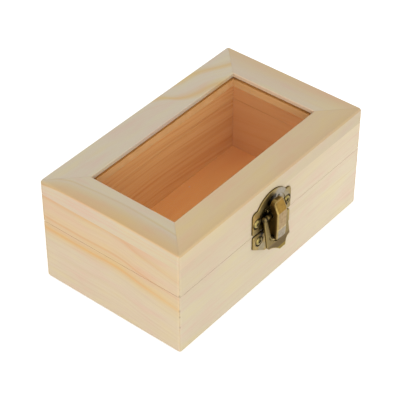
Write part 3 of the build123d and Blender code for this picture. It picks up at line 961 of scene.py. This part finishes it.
@dataclass
class Boards:
    """The wooden boards of both halves, the floor panel and the pane; sizes in mm.

    Attributes:
        long_wall: thickness of the front and back boards.
        end_wall: thickness of the left and right boards.
        half_length: from the box's middle to its ends.
        half_width: from the box's middle to its front and back.
        top: height of the box.
    """

    long_wall: float = 10.5
    end_wall: float = 8.0
    half_length: float = 75.0
    half_width: float = 45.0
    top: float = 64.0

    def dress(self) -> None:
        """Gives every board its pine, and the panel and the pane their finishes."""
        for side, finish in self.walls().items():
            paint(finish.material(), f"base_{side}_wall", f"lid_{side}_wall")
        for side, finish in self.rails().items():
            paint(finish.material(), f"lid_{side}_rail")
        paint(OiledPlywood().material(), "base_bottom_panel")
        paint(ClearPane().material(), "window_pane")

    def walls(self) -> dict[str, PineBoard]:
        """Describes the boards of the four walls.

        Returns:
            The pine for each side of the box.
        """
        long_inside = self.half_width - self.long_wall
        end_inside = self.half_length - self.end_wall
        specks = (17.0, 24.0, 28.0, 38.0)
        return {
            "front": PineBoard(
                "front boards", Lay.LONG_WALL,
                strata=((-10.0, "E1D4BD"), (12.0, "E1D4BD"), (24.0, "E0D3BB"), (40.0, "DECFB7"),
                        (52.0, "DDCDB3"), (66.0, "DBCBB0")),
                ends=("F0EFEC", "FFFFFF"), outer=-self.half_width, fibre=0.24, oiled_inside=long_inside,
                joint_specks=specks, joint_place=-self.half_length,
            ),
            "back": PineBoard(
                "back boards", Lay.LONG_WALL,
                strata=((-10.0, "E0D0B6"), (14.0, "DECCAF"), (22.0, "DCC39C"), (24.0, "D9B587"),
                        (27.0, "DDC8A6"), (44.0, "DFCDB1"), (66.0, "DECBAE")),
                drift=((-80.0, 5.0), (-20.0, 0.0), (30.0, 1.5), (80.0, 7.0)),
                slope=-0.3, outer=self.half_width, fibre=0.25, oiled_inside=long_inside,
                oil_ground="F6CF8E", oil_line="DD9C58", oil_contrast=0.65,
            ),
            "left": PineBoard(
                "left boards", Lay.END_WALL,
                strata=((-10.0, "DDCBB1"), (16.0, "DDCBB1"), (18.0, "DBC7AB"), (20.0, "DDCBB2"),
                        (28.0, "DBC9AE"), (31.5, "DDC4A0"), (33.4, "DFBB8B"), (34.3, "E0B27A"),
                        (35.3, "DEBC8F"), (38.0, "DEC19C"), (40.6, "DEBF99"), (41.7, "DBB286"),
                        (42.8, "DFC29C"), (48.0, "DEC5A4"), (53.0, "DDC3A1"), (54.8, "DBB68E"),
                        (57.0, "DDBF9A"), (66.0, "DDC3A2")),
                drift=((-48.0, 6.0), (-35.0, 4.3), (-21.0, 2.6), (-3.0, 0.0), (15.0, 0.2), (48.0, 0.4)),
                fan=((34.0, 55.0), (1.0, 1.8)), slope=0.0, fibre=0.26, fade=(-46.0, -10.0), faded=0.6,
                oiled_inside=end_inside, joint_specks=specks, joint_place=-self.half_width,
            ),
            "right": PineBoard(
                "right boards", Lay.END_WALL,
                strata=((-10.0, "DFCFB5"), (20.0, "DDCBB0"), (26.0, "DCC39D"), (27.5, "DBB88C"),
                        (29.5, "DEC9A9"), (46.0, "DFCDB2"), (49.0, "DCC5A2"), (52.0, "DFCEB3"),
                        (66.0, "DECCB0")),
                drift=((-48.0, 0.0), (0.0, 1.0), (48.0, 5.0)), slope=-0.3, outer=self.half_length, fibre=0.22,
                oiled_inside=end_inside, oil_ground="F2C488", oil_contrast=0.25,
            ),
        }

    def rails(self) -> dict[str, PineBoard]:
        """Describes the four rails of the window's frame; the greyer, darker colours of their tops are
        painted shade.

        Returns:
            The pine for each side of the box.
        """
        pane_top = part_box("window_pane")[1][2] * MM_PER_METRE
        common = {"fibre": 0.2, "oiled_below": pane_top, "oil_ground": "DCB580", "oil_line": "D2A468"}
        long_rail = {"oiled_inside": self.half_width - self.long_wall, **common}
        end_rail = {"oiled_inside": self.half_length - self.end_wall, "outer": self.top, **common}
        # the greyer, darker strata on the rails' tops are painted shade of the top
        return {
            "front": PineBoard(
                "front rail", Lay.LONG_RAIL,
                strata=((-70.0, "DACBB0"), (-53.0, "DCCCB0"), (-50.0, "D2B891"), (-44.0, "D2B992"),
                        (-41.5, "D4BC96"), (-38.0, "D5BF9B"), (-30.0, "D6C19D"), (-20.0, "D5C19E")),
                ends=("F8F6F2", "F0EEF0"), slope=-6.0, outer=self.top, **long_rail,
            ),
            "back": PineBoard(
                "back rail", Lay.LONG_RAIL,
                strata=((20.0, "CABEAB"), (40.5, "CABEAB"), (42.6, "CBB796"), (44.3, "CBB084"),
                        (46.5, "CAB99C"), (49.5, "CABEAB"), (56.0, "CABEAB"), (58.0, "CCB793"),
                        (59.4, "CBB188"), (61.5, "CAB99E"), (64.0, "CABEAB"), (80.0, "CABEAB")),
                drift=((-80.0, -16.0), (0.0, -5.0), (12.5, 0.0), (23.0, 11.0), (30.0, 14.0), (41.0, 15.8),
                       (60.0, 25.0), (80.0, 34.0)),
                slope=0.0, side=(self.half_width, "DDCDB2"), **long_rail,
            ),
            "left": PineBoard(
                "left rail", Lay.END_RAIL,
                strata=((-112.0, "DAC8AE"), (-100.0, "DAC8AE"), (-97.8, "DCC1A6"), (-95.5, "DAC8AE"),
                        (-91.0, "DAC8AE"), (-89.0, "DDC2A7"), (-87.0, "DAC8AE"), (-80.0, "DAC8AE"),
                        (-77.0, "DDBB91"), (-76.0, "CCAB80"), (-74.0, "CCAE85"), (-71.5, "CBB18B"),
                        (-69.0, "C9B594"), (-65.9, "C8BAA3"), (-65.0, "C4B192"), (-64.1, "C9BCA6"),
                        (-55.0, "CABDA5")),
                drift=((-48.0, 0.0), (30.0, 0.0), (36.0, 2.0), (41.0, 5.5), (48.0, 12.0)),
                slope=-4.0, **end_rail,
            ),
            "right": PineBoard(
                "right rail", Lay.END_RAIL,
                strata=((50.0, "CBBDAA"), (61.0, "CBBDAA"), (66.0, "CAB9A3"), (70.0, "CBB598"),
                        (76.0, "CBB292")),
                ends=("FFFDF4", "FAF9FA"), slope=0.4, side=(self.half_length, "DDCEB4"), **end_rail,
            ),
        }


@dataclass
class GlueLines:
    """The dried glue in the mitres, a hair below the boards' faces; sizes in mm.

    Attributes:
        thickness: of the glue.
        sunk: how far its edge lies under the faces.
        corner_sunk: how far it lies under the box's upright corners.
        rounding: how much of the outer top corner is left off for the boards' eased edges.
        wall_inside: where the walls' inner corner is, along and across the box.
    """

    thickness: float = 0.1
    sunk: float = 0.12
    corner_sunk: float = 0.36
    rounding: float = 1.0
    wall_inside: Pair = (67.0, 34.5)

    def build(self) -> None:
        """Makes one piece for the base's mitres and one for the lid's."""
        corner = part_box("lid_right_wall")[1][0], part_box("lid_back_wall")[1][1]
        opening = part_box("lid_right_rail")[0][0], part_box("lid_back_rail")[0][1]
        outside, rail_inside = ((x * MM_PER_METRE, y * MM_PER_METRE) for x, y in (corner, opening))
        nodes = ("base_back_wall", "lid_back_wall", "lid_back_rail")
        base, wall, rail = (self.heights(node) for node in nodes)
        material = self.material()
        self.piece("base_glue_lines", "base", material, (self.wall_inside, outside, base, self.sunk))
        self.piece(
            "lid_glue_lines", "lid", material,
            (self.wall_inside, outside, wall, self.sunk), (rail_inside, outside, rail, self.rounding),
        )

    def heights(self, node: str) -> Pair:
        """Finds the lowest and highest point of a board in mm."""
        low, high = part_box(node)
        return low[2] * MM_PER_METRE, high[2] * MM_PER_METRE

    def material(self) -> Material:
        """Builds the material of dried joiner's glue full of sanding dust: pale, dull and slightly grainy.

        Returns:
            The material.
        """
        material, add = blank_material("dried wood glue with sanding dust")
        dust = add("ShaderNodeTexNoise", {"Vector": in_mm(add), "Scale": 0.5, "Detail": 2.0})
        tone = shaded(add, dust, ((0.3, "C9AD82"), (0.5, "D8C3A0"), (0.7, "DCCAAC")))
        shader = add("ShaderNodeBsdfPrincipled", {"Base Color": tone, "Roughness": 0.7})
        add("ShaderNodeOutputMaterial", {"Surface": shader})
        return material

    def piece(self, name: str, body: str, material: Material, *rings: tuple[Pair, Pair, Pair, float]) -> None:
        """Makes the glue of one half's four corners.

        Args:
            name: the piece's name.
            body: the body that it rides on.
            material: the glue's finish.
            rings: for each ring of boards its inner corner, its outer corner, its heights, and what is left
                off the glue's outer top corner, in mm.
        """
        corners, faces = [], []
        for inside, outside, (bottom, top), cut in rings:
            for side_x, side_y in ((1, 1), (-1, 1), (-1, -1), (1, -1)):
                start = Vector((side_x * inside[0], side_y * inside[1], 0))
                end = Vector((side_x * outside[0], side_y * outside[1], 0))
                along = (end - start).normalized()
                start, end = start + along * self.sunk, end - along * self.corner_sunk
                outline = (
                    (start, bottom + self.sunk), (end, bottom + self.sunk), (end, top - cut),
                    (end - along * cut, top - self.sunk), (start, top - self.sunk),
                )
                across = Vector((-along.y, along.x, 0)) * self.thickness / 2
                first, count = len(corners), len(outline)
                for shift in (-across, across):
                    corners += [(place + shift + Vector((0, 0, height))) * MM for place, height in outline]
                near = range(first, first + count)
                far = range(first + count, first + 2 * count)
                faces += [tuple(reversed(near)), tuple(far)]
                sides = [(i, (i + 1) % count) for i in range(count)]
                faces += [(near[i], near[j], far[j], far[i]) for i, j in sides]
        mesh = bpy.data.meshes.new(name)
        mesh.from_pydata(corners, [], faces)
        mesh.materials.append(material)
        shell = bmesh.new()
        shell.from_mesh(mesh)
        bmesh.ops.recalc_face_normals(shell, faces=shell.faces)
        shell.to_mesh(mesh)
        shell.free()
        glue = bpy.data.objects.new(name, mesh)
        bpy.context.scene.collection.objects.link(glue)
        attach(glue, body)
        LOG.info("%s: %d faces", name, len(mesh.polygons))


@dataclass
class Metalwork:
    """The latch, the hinges, their pins and their screws; sizes in mm.

    Attributes:
        middle: of the latch, along the box.
        face: of the latch's plates, out from the box's middle.
        dark: colour of the painted shade in the gaps between the latch's sheets.
    """

    middle: float = -3.35
    face: float = -46.0
    dark: str = "1E1606"

    def pair(
        self, out: float, y: float, z: float, radius: float, strength: float, core: float = 0.8,
        tint: str = "",
    ) -> tuple[WearShadeAndSheen, ...]:
        """Makes a patch of painted shade on each side of the latch.

        Args:
            out: how far each is from the latch's middle.
            y: its place from the front to the back of the box.
            z: its height.
            radius: its reach.
            strength: how much of it shows at its middle.
            core: the share of the radius within which it shows in full.
            tint: its colour, where it is not the dark one.

        Returns:
            The two rubs, which show all round.
        """
        places = [(self.middle + side * out, y, z) for side in (-1, 1)]
        return tuple(WearShadeAndSheen(place, radius, tint or self.dark, strength, core, True) for place in places)

    def dress(self) -> None:
        """Gives the plates, lever, claw, hinges and pins their bronze, with painted shade, highlights and
        reflections.
        """
        face, dark = self.face, self.dark
        # place along the box, height, reach, colour and strength of the painted shadows on the catch plate
        # round the claw
        hollows = (
            (-11.3, 43.4, 2.6, dark, 0.95), (-9.3, 48.9, 3.2, "2C220C", 0.85), (-5.4, 52.2, 2.4, dark, 0.95),
            (-3.3, 54.0, 1.9, dark, 0.95), (-0.9, 54.0, 1.5, dark, 0.9), (1.9, 51.8, 1.7, dark, 0.9),
        )
        shadows = (WearShadeAndSheen((x, face, z), *look, all_round=True) for x, z, *look in hollows)
        catch_plate = AntiqueBronze(
            "catch plate", body="94804F", side="7A6638", hollow=2.6,
            wear_shade_and_sheen=(
                # silvery grey on the dome's top and right: painted reflection
                WearShadeAndSheen((3.2, face, 54.0), 6.0, "9A9284", 0.95), WearShadeAndSheen((7.2, face, 48.5), 4.0, "958A72", 0.8),
                WearShadeAndSheen((-17.0, face, 47.0), 6.0, "AE8A48", 0.85),
                # painted shade beside the lever's arms, and the painted shadows round the claw
                *self.pair(12.3, face, 45.0, 3.5, 0.95, core=0.9), *shadows,
            ),
        )
        base_plate = AntiqueBronze(
            "base plate", body="A48C52", side="7A6638", hollow=2.6,
            wear_shade_and_sheen=(
                # grey on the lower left: painted reflection
                WearShadeAndSheen((-11.5, face, 26.5), 4.0, "938A72", 0.8),
                # painted shade beside the lever's arms
                *self.pair(10.2, face, 32.25, 3.5, 0.95, core=0.9),
                # painted shade in the gap under the catch plate beside the left arm, and round the knuckle
                # behind the claw
                WearShadeAndSheen((-10.9, face, 36.6), 2.4, dark, 0.95, all_round=True),
                WearShadeAndSheen((self.middle, -48.0, 46.2), 7.0, dark, 0.85, core=0.8, all_round=True),
            ),
        )
        lever = AntiqueBronze(
            "lever", body="88764A", side="6E5E38", rubbed="AE985C", edge=0.6, highlight_band=(25.6, 1.1, "A8904E"),
            tilt_sheen_and_shade=((0.15, "88764A"), (0.4, "7A684E")),
            # painted shade at the tops of the lever's arms and at the barrels round the claw's pin
            wear_shade_and_sheen=(*self.pair(5.4, -48.0, 46.4, 3.4, 0.95), *self.pair(4.6, -49.6, 33.0, 2.4, 0.8, core=0.5)),
        )
        claw = AntiqueBronze(
            "claw", body="A58B62", side="5E4924", rubbed="B0965A", edge=0.5, hollow=0.8, eased=0.75,
            highlight_band=(38.0, 0.45, "BFAA7C"),
            tilt_sheen_and_shade=((-0.9, "5A4720"), (-0.3, "9C907C"), (-0.018, "9C907C"), (-0.008, "A58B62"),
                   (0.1, "A58B62"), (0.2, "A07D3A"), (0.45, "9C7A38"), (0.6, "5E4B22"), (1.0, "4A3B18")),
            # painted shade on the upper corners of the claw's sides
            wear_shade_and_sheen=self.pair(4.0, -48.5, 53.0, 3.6, 0.9, core=0.3, tint="6B5630"),
        )
        hinge_parts = ("base_leaf", "lid_leaf", "pin")
        hinges = [f"hinge_{side}_{part}" for side in ("left", "right") for part in hinge_parts]
        for finish, nodes in (
            (catch_plate, ["latch_catch_plate"]),
            (base_plate, ["latch_base_plate"]),
            (lever, ["latch_lever"]),
            (claw, ["latch_claw"]),
            # the pins are painted dark for the shade between the lever's arms and the claw
            (AntiqueBronze("pins", body="5A5040", side="5E5444"), ["lever_pin", "claw_pin"]),
            (AntiqueBronze("hinges", body="8F794A", side="8A7648"), hinges),
        ):
            paint(finish.material(), *nodes)

    def build_screws(self) -> None:
        """Makes the four sets of screws."""
        tree = ScrewTree().tree
        recesses = tuple(
            WearShadeAndSheen((x, -46.6, z), 1.7, "33270B", 0.9, core=0.45, all_round=True)
            for x, z in ((-15.65, 45.0), (8.95, 45.0), (-13.55, 32.25), (6.85, 32.25))
        )
        finish = AntiqueBronze(
            "screws", body="A39258", side="8C7A46", rubbed="BCA970", edge=0.2, hollow=0.8, wear_shade_and_sheen=recesses,
        ).material()
        latch = ScrewSize(2.4, 1.2, 0.9, 7.0, cross_width=0.8, cross_depth=0.8)
        hinge = ScrewSize(1.55, 0.8, 0.75, 6.0, cross_width=0.45, cross_depth=0.5, thread_pitch=0.9)
        for screws in (
            ScrewSet("catch_screws", "latch_catch_screws", "lid", True, latch, seed=3),
            ScrewSet("latch_plate_screws", "latch_base_screws", "base", True, latch, seed=5),
            ScrewSet("lid_leaf_screws", "hinge_lid_screws", "lid", False, hinge, seed=7, spread=11.0),
            ScrewSet("base_leaf_screws", "hinge_base_screws", "base", False, hinge, seed=9, spread=11.0),
        ):
            screws.build(tree, finish)


@dataclass
class Studio:
    """A white room with soft, plain light, and the camera.

    Attributes:
        sky: strength of the white surroundings as the object's light.
        key_power: of the soft lamp at the front left, in watts.
        key_place: where it stands, in metres.
        key_size: its width, in metres.
        floor_glow: what the floor adds for the eye and for reflections, so that it reads as white.
        floor_tone: the floor's own colour.
        floor_reach: from its middle to its sides, in metres.
        floor_height: a hair under the box, in metres.
        camera_place: in metres.
        camera_target: the point that it looks at, in metres.
        lens: focal length in mm on a 36 mm wide sensor.
    """

    sky: float = 0.9
    key_power: float = 8.0
    key_place: Place = (-0.85, -1.07, 0.28)
    key_size: float = 0.9
    floor_glow: float = 0.5
    floor_tone: str = "E6E6E6"
    floor_reach: float = 3.0
    floor_height: float = -0.0002
    camera_place: Place = (-0.4790, -0.3876, 0.5480)
    camera_target: Place = (-0.00744, -0.00243, 0.0320)
    lens: float = 138.0

    def build(self) -> None:
        """Builds the surroundings, the lamp, the floor and the camera."""
        self.build_world()
        self.build_key()
        self.build_floor()
        self.build_camera()

    def place(self, name: str, data: bpy.types.ID, where: Place, target: Place) -> bpy.types.Object:
        """Puts a lamp or a camera in the scene, turned to a point.

        Args:
            name: the object's name.
            data: the lamp or the camera.
            where: its place in metres.
            target: the point that it is turned to.

        Returns:
            The object.
        """
        holder = bpy.data.objects.new(name, data)
        holder.location = where
        holder.rotation_euler = (Vector(target) - Vector(where)).to_track_quat("-Z", "Y").to_euler()
        bpy.context.scene.collection.objects.link(holder)
        return holder

    def eye_rays(self, add: Add) -> Node:
        """Tells rays that show the surroundings from rays that light the object.

        Args:
            add: adds a node to a material or to the world.

        Returns:
            1 for rays from the camera, mirrored rays and rays through the pane, 0 for the rest.
        """
        ray = add("ShaderNodeLightPath").outputs
        seen = {0: ray["Is Camera Ray"], 1: ray["Is Glossy Ray"]}
        shown = {0: add("ShaderNodeMath", seen, operation="MAXIMUM"), 1: ray["Is Transmission Ray"]}
        return add("ShaderNodeMath", shown, operation="MAXIMUM")

    def build_world(self) -> None:
        """Makes the white surroundings."""
        world = bpy.data.worlds.new("white room")
        world.use_nodes = True
        world.node_tree.nodes.clear()
        add = partial(add_node, world.node_tree)
        levels = {"Value": self.eye_rays(add), "To Min": self.sky, "To Max": 1.0}
        white = {"Color": "FFFFFF", "Strength": add("ShaderNodeMapRange", levels)}
        add("ShaderNodeOutputWorld", {"Surface": add("ShaderNodeBackground", white)})
        bpy.context.scene.world = world

    def build_key(self) -> None:
        """Makes the soft lamp, low at the front left, so that the sides are a little lighter than the top."""
        lamp = bpy.data.lights.new("key softbox", "AREA")
        lamp.energy = self.key_power
        lamp.shape = "SQUARE"
        lamp.size = self.key_size
        self.place("key softbox", lamp, self.key_place, (0.0, 0.0, 0.0))

    def build_floor(self) -> None:
        """Makes the pale floor, which keeps a soft shadow round the box."""
        mesh = bpy.data.meshes.new("floor")
        reach, height = self.floor_reach, self.floor_height
        corners = [(x * reach, y * reach, height) for x, y in ((-1, -1), (1, -1), (1, 1), (-1, 1))]
        mesh.from_pydata(corners, [], [(0, 1, 2, 3)])
        floor = bpy.data.objects.new("floor", mesh)
        bpy.context.scene.collection.objects.link(floor)
        material, add = blank_material("matt white card")
        glow = add("ShaderNodeMapRange", {"Value": self.eye_rays(add), "To Max": self.floor_glow})
        tone = {"Base Color": self.floor_tone, "Roughness": 1.0, "Specular IOR Level": 0.0}
        light = {"Emission Color": "FFFFFF", "Emission Strength": glow}
        add("ShaderNodeOutputMaterial", {"Surface": add("ShaderNodeBsdfPrincipled", tone | light)})
        mesh.materials.append(material)

    def build_camera(self) -> None:
        """Sets the camera where the photograph's was."""
        camera = bpy.data.cameras.new("camera")
        camera.lens = self.lens
        camera.sensor_width = 36.0
        camera.clip_start = 0.01
        bpy.context.scene.camera = self.place("camera", camera, self.camera_place, self.camera_target)
        bpy.context.scene.view_settings.view_transform = "Standard"


def main() -> None:
    """Dresses the CAD's pieces, makes the glue, screws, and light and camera."""
    logging.basicConfig(level=logging.INFO, format="%(name)s: %(message)s")
    Boards().dress()
    GlueLines().build()
    metalwork = Metalwork()
    metalwork.dress()
    metalwork.build_screws()
    Studio().build()


if __name__ == "__main__":
    main()
